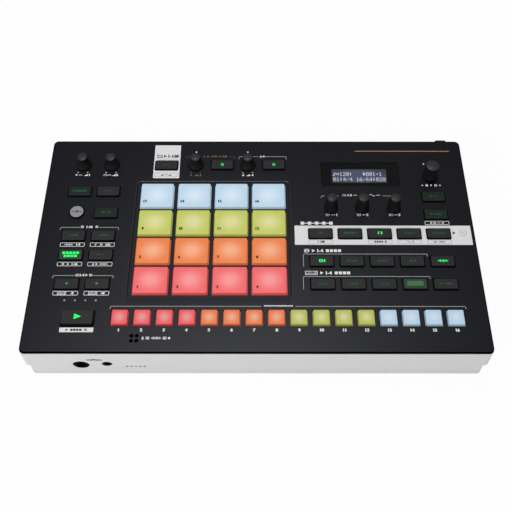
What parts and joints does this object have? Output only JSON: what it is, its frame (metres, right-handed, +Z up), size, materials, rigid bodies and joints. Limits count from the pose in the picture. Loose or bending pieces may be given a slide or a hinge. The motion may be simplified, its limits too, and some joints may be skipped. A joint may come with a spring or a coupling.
{
  "type": "groovebox",
  "caption": "Desktop groovebox: lit finger pads, coloured step keys, function keys, knobs and a small display in a black panel over a white two-tier case.",
  "frame": {"origin": "on the surface that the feet stand on, under the middle of the whole outline, power button included", "axes": "+X to the right along the width, -Y towards the player and the front jacks, +Z up out of the panel"},
  "size_m": [0.436, 0.249, 0.0745],
  "materials": {
    "case_white": "satin",
    "panel_black": "satin",
    "window_clear": "gloss",
    "display_glass": "gloss",
    "board_green": "satin",
    "sensor_film": "satin",
    "rubber_black": "matte",
    "screw_steel": "satin",
    "jack_black": "satin",
    "pad_red": "matte",
    "pad_orange": "matte",
    "pad_lime": "matte",
    "pad_blue": "matte",
    "step_red": "satin",
    "step_orange": "satin",
    "step_lime": "satin",
    "step_blue": "satin",
    "key_dark": "satin",
    "key_grey": "satin",
    "power_black": "gloss",
    "knob_black": "satin"
  },
  "bodies": {
    "chassis": {"lower_case": "case_white", "top_panel": "panel_black", "pad_frame": "panel_black", "display_window": "window_clear", "display_module": "display_glass", "control_board": "board_green", "main_board": "board_green", "pad_sensor_sheet": "sensor_film", "rubber_feet": "rubber_black", "case_screws": "screw_steel", "phones_jack_large": "jack_black", "phones_jack_small": "jack_black", "line_jacks": "jack_black", "mic_jack": "jack_black", "midi_jacks": "jack_black"},
    "pad_01": {"pad_01": "pad_red"},
    "pad_02": {"pad_02": "pad_red"},
    "pad_03": {"pad_03": "pad_red"},
    "pad_04": {"pad_04": "pad_red"},
    "pad_05": {"pad_05": "pad_orange"},
    "pad_06": {"pad_06": "pad_orange"},
    "pad_07": {"pad_07": "pad_orange"},
    "pad_08": {"pad_08": "pad_orange"},
    "pad_09": {"pad_09": "pad_lime"},
    "pad_10": {"pad_10": "pad_lime"},
    "pad_11": {"pad_11": "pad_lime"},
    "pad_12": {"pad_12": "pad_lime"},
    "pad_13": {"pad_13": "pad_blue"},
    "pad_14": {"pad_14": "pad_blue"},
    "pad_15": {"pad_15": "pad_blue"},
    "pad_16": {"pad_16": "pad_blue"},
    "step_keys_red": {"step_keys_red": "step_red"},
    "step_keys_orange": {"step_keys_orange": "step_orange"},
    "step_keys_lime": {"step_keys_lime": "step_lime"},
    "step_keys_blue": {"step_keys_blue": "step_blue"},
    "key_project": {"key_project": "key_dark"},
    "key_effect_on": {"key_effect_on": "key_dark"},
    "key_mic_on": {"key_mic_on": "key_dark"},
    "key_shift": {"key_shift": "key_dark"},
    "key_undo": {"key_undo": "key_dark"},
    "key_copy": {"key_copy": "key_dark"},
    "key_exit": {"key_exit": "key_dark"},
    "key_system": {"key_system": "key_dark"},
    "pad_mode_keys": {"pad_mode_keys": "key_dark"},
    "measure_keys": {"measure_keys": "key_dark"},
    "workflow_keys": {"workflow_keys": "key_dark"},
    "drum_track_keys": {"drum_track_keys": "key_dark"},
    "melodic_track_keys": {"melodic_track_keys": "key_dark"},
    "key_start_stop": {"key_start_stop": "key_dark"},
    "key_clear": {"key_clear": "key_grey"},
    "power_button": {"power_button": "power_black"},
    "knob_volume": {"knob_volume": "knob_black"},
    "knob_phones": {"knob_phones": "knob_black"},
    "knob_tune": {"knob_tune": "knob_black"},
    "knob_gain": {"knob_gain": "knob_black"},
    "knob_ctrl_1": {"knob_ctrl_1": "knob_black"},
    "knob_ctrl_2": {"knob_ctrl_2": "knob_black"},
    "knob_ctrl_3": {"knob_ctrl_3": "knob_black"},
    "value_spindle": {"value_spindle": "screw_steel"},
    "knob_value": {"knob_value": "knob_black"}
  },
  "joints": [
    {"name": "pad_01_press", "type": "slide", "parent": "chassis", "child": "pad_01", "axis": [0, 0, -1], "range_m": [0, 0.001], "stiffness_N_per_m": 400, "springref_m": -0.002},
    {"name": "pad_02_press", "type": "slide", "parent": "chassis", "child": "pad_02", "axis": [0, 0, -1], "range_m": [0, 0.001], "stiffness_N_per_m": 400, "springref_m": -0.002},
    {"name": "pad_03_press", "type": "slide", "parent": "chassis", "child": "pad_03", "axis": [0, 0, -1], "range_m": [0, 0.001], "stiffness_N_per_m": 400, "springref_m": -0.002},
    {"name": "pad_04_press", "type": "slide", "parent": "chassis", "child": "pad_04", "axis": [0, 0, -1], "range_m": [0, 0.001], "stiffness_N_per_m": 400, "springref_m": -0.002},
    {"name": "pad_05_press", "type": "slide", "parent": "chassis", "child": "pad_05", "axis": [0, 0, -1], "range_m": [0, 0.001], "stiffness_N_per_m": 400, "springref_m": -0.002},
    {"name": "pad_06_press", "type": "slide", "parent": "chassis", "child": "pad_06", "axis": [0, 0, -1], "range_m": [0, 0.001], "stiffness_N_per_m": 400, "springref_m": -0.002},
    {"name": "pad_07_press", "type": "slide", "parent": "chassis", "child": "pad_07", "axis": [0, 0, -1], "range_m": [0, 0.001], "stiffness_N_per_m": 400, "springref_m": -0.002},
    {"name": "pad_08_press", "type": "slide", "parent": "chassis", "child": "pad_08", "axis": [0, 0, -1], "range_m": [0, 0.001], "stiffness_N_per_m": 400, "springref_m": -0.002},
    {"name": "pad_09_press", "type": "slide", "parent": "chassis", "child": "pad_09", "axis": [0, 0, -1], "range_m": [0, 0.001], "stiffness_N_per_m": 400, "springref_m": -0.002},
    {"name": "pad_10_press", "type": "slide", "parent": "chassis", "child": "pad_10", "axis": [0, 0, -1], "range_m": [0, 0.001], "stiffness_N_per_m": 400, "springref_m": -0.002},
    {"name": "pad_11_press", "type": "slide", "parent": "chassis", "child": "pad_11", "axis": [0, 0, -1], "range_m": [0, 0.001], "stiffness_N_per_m": 400, "springref_m": -0.002},
    {"name": "pad_12_press", "type": "slide", "parent": "chassis", "child": "pad_12", "axis": [0, 0, -1], "range_m": [0, 0.001], "stiffness_N_per_m": 400, "springref_m": -0.002},
    {"name": "pad_13_press", "type": "slide", "parent": "chassis", "child": "pad_13", "axis": [0, 0, -1], "range_m": [0, 0.001], "stiffness_N_per_m": 400, "springref_m": -0.002},
    {"name": "pad_14_press", "type": "slide", "parent": "chassis", "child": "pad_14", "axis": [0, 0, -1], "range_m": [0, 0.001], "stiffness_N_per_m": 400, "springref_m": -0.002},
    {"name": "pad_15_press", "type": "slide", "parent": "chassis", "child": "pad_15", "axis": [0, 0, -1], "range_m": [0, 0.001], "stiffness_N_per_m": 400, "springref_m": -0.002},
    {"name": "pad_16_press", "type": "slide", "parent": "chassis", "child": "pad_16", "axis": [0, 0, -1], "range_m": [0, 0.001], "stiffness_N_per_m": 400, "springref_m": -0.002},
    {"name": "step_keys_red_press", "type": "slide", "parent": "chassis", "child": "step_keys_red", "axis": [0, 0, -1], "range_m": [0, 0.0008], "stiffness_N_per_m": 300, "springref_m": -0.002},
    {"name": "step_keys_orange_press", "type": "slide", "parent": "chassis", "child": "step_keys_orange", "axis": [0, 0, -1], "range_m": [0, 0.0008], "stiffness_N_per_m": 300, "springref_m": -0.002},
    {"name": "step_keys_lime_press", "type": "slide", "parent": "chassis", "child": "step_keys_lime", "axis": [0, 0, -1], "range_m": [0, 0.0008], "stiffness_N_per_m": 300, "springref_m": -0.002},
    {"name": "step_keys_blue_press", "type": "slide", "parent": "chassis", "child": "step_keys_blue", "axis": [0, 0, -1], "range_m": [0, 0.0008], "stiffness_N_per_m": 300, "springref_m": -0.002},
    {"name": "key_project_press", "type": "slide", "parent": "chassis", "child": "key_project", "axis": [0, 0, -1], "range_m": [0, 0.0008], "stiffness_N_per_m": 300, "springref_m": -0.002},
    {"name": "key_effect_on_press", "type": "slide", "parent": "chassis", "child": "key_effect_on", "axis": [0, 0, -1], "range_m": [0, 0.0008], "stiffness_N_per_m": 300, "springref_m": -0.002},
    {"name": "key_mic_on_press", "type": "slide", "parent": "chassis", "child": "key_mic_on", "axis": [0, 0, -1], "range_m": [0, 0.0008], "stiffness_N_per_m": 300, "springref_m": -0.002},
    {"name": "key_shift_press", "type": "slide", "parent": "chassis", "child": "key_shift", "axis": [0, 0, -1], "range_m": [0, 0.0008], "stiffness_N_per_m": 300, "springref_m": -0.002},
    {"name": "key_undo_press", "type": "slide", "parent": "chassis", "child": "key_undo", "axis": [0, 0, -1], "range_m": [0, 0.0008], "stiffness_N_per_m": 300, "springref_m": -0.002},
    {"name": "key_copy_press", "type": "slide", "parent": "chassis", "child": "key_copy", "axis": [0, 0, -1], "range_m": [0, 0.0008], "stiffness_N_per_m": 300, "springref_m": -0.002},
    {"name": "key_exit_press", "type": "slide", "parent": "chassis", "child": "key_exit", "axis": [0, 0, -1], "range_m": [0, 0.0008], "stiffness_N_per_m": 300, "springref_m": -0.002},
    {"name": "key_system_press", "type": "slide", "parent": "chassis", "child": "key_system", "axis": [0, 0, -1], "range_m": [0, 0.0008], "stiffness_N_per_m": 300, "springref_m": -0.002},
    {"name": "pad_mode_keys_press", "type": "slide", "parent": "chassis", "child": "pad_mode_keys", "axis": [0, 0, -1], "range_m": [0, 0.0008], "stiffness_N_per_m": 300, "springref_m": -0.002},
    {"name": "measure_keys_press", "type": "slide", "parent": "chassis", "child": "measure_keys", "axis": [0, 0, -1], "range_m": [0, 0.0008], "stiffness_N_per_m": 300, "springref_m": -0.002},
    {"name": "workflow_keys_press", "type": "slide", "parent": "chassis", "child": "workflow_keys", "axis": [0, 0, -1], "range_m": [0, 0.0008], "stiffness_N_per_m": 300, "springref_m": -0.002},
    {"name": "drum_track_keys_press", "type": "slide", "parent": "chassis", "child": "drum_track_keys", "axis": [0, 0, -1], "range_m": [0, 0.0008], "stiffness_N_per_m": 300, "springref_m": -0.002},
    {"name": "melodic_track_keys_press", "type": "slide", "parent": "chassis", "child": "melodic_track_keys", "axis": [0, 0, -1], "range_m": [0, 0.0008], "stiffness_N_per_m": 300, "springref_m": -0.002},
    {"name": "key_start_stop_press", "type": "slide", "parent": "chassis", "child": "key_start_stop", "axis": [0, 0, -1], "range_m": [0, 0.0008], "stiffness_N_per_m": 300, "springref_m": -0.002},
    {"name": "key_clear_press", "type": "slide", "parent": "chassis", "child": "key_clear", "axis": [0, 0, -1], "range_m": [0, 0.0008], "stiffness_N_per_m": 300, "springref_m": -0.002},
    {"name": "power_button_press", "type": "slide", "parent": "chassis", "child": "power_button", "axis": [0, -1, 0], "range_m": [0, 0.002], "stiffness_N_per_m": 400, "springref_m": -0.002},
    {"name": "knob_volume_turn", "type": "hinge", "parent": "chassis", "child": "knob_volume", "pos_m": [-0.1825, 0.0891, 0.055], "axis": [0, 0, 1], "range_deg": [-150, 150]},
    {"name": "knob_phones_turn", "type": "hinge", "parent": "chassis", "child": "knob_phones", "pos_m": [-0.1528, 0.0891, 0.055], "axis": [0, 0, 1], "range_deg": [-150, 150]},
    {"name": "knob_tune_turn", "type": "hinge", "parent": "chassis", "child": "knob_tune", "pos_m": [-0.0642, 0.0891, 0.055], "axis": [0, 0, 1], "range_deg": [-150, 150]},
    {"name": "knob_gain_turn", "type": "hinge", "parent": "chassis", "child": "knob_gain", "pos_m": [-0.0094, 0.0891, 0.055], "axis": [0, 0, 1], "range_deg": [-150, 150]},
    {"name": "knob_ctrl_1_turn", "type": "hinge", "parent": "chassis", "child": "knob_ctrl_1", "pos_m": [0.0758, 0.0347, 0.055], "axis": [0, 0, 1], "continuous": true},
    {"name": "knob_ctrl_2_turn", "type": "hinge", "parent": "chassis", "child": "knob_ctrl_2", "pos_m": [0.1075, 0.0347, 0.055], "axis": [0, 0, 1], "continuous": true},
    {"name": "knob_ctrl_3_turn", "type": "hinge", "parent": "chassis", "child": "knob_ctrl_3", "pos_m": [0.1398, 0.0347, 0.055], "axis": [0, 0, 1], "continuous": true},
    {"name": "value_spindle_press", "type": "slide", "parent": "chassis", "child": "value_spindle", "axis": [0, 0, -1], "range_m": [0, 0.0005], "stiffness_N_per_m": 400, "springref_m": -0.002},
    {"name": "knob_value_turn", "type": "hinge", "parent": "value_spindle", "child": "knob_value", "pos_m": [0.1816, 0.0749, 0.055], "axis": [0, 0, 1], "continuous": true}
  ]
}
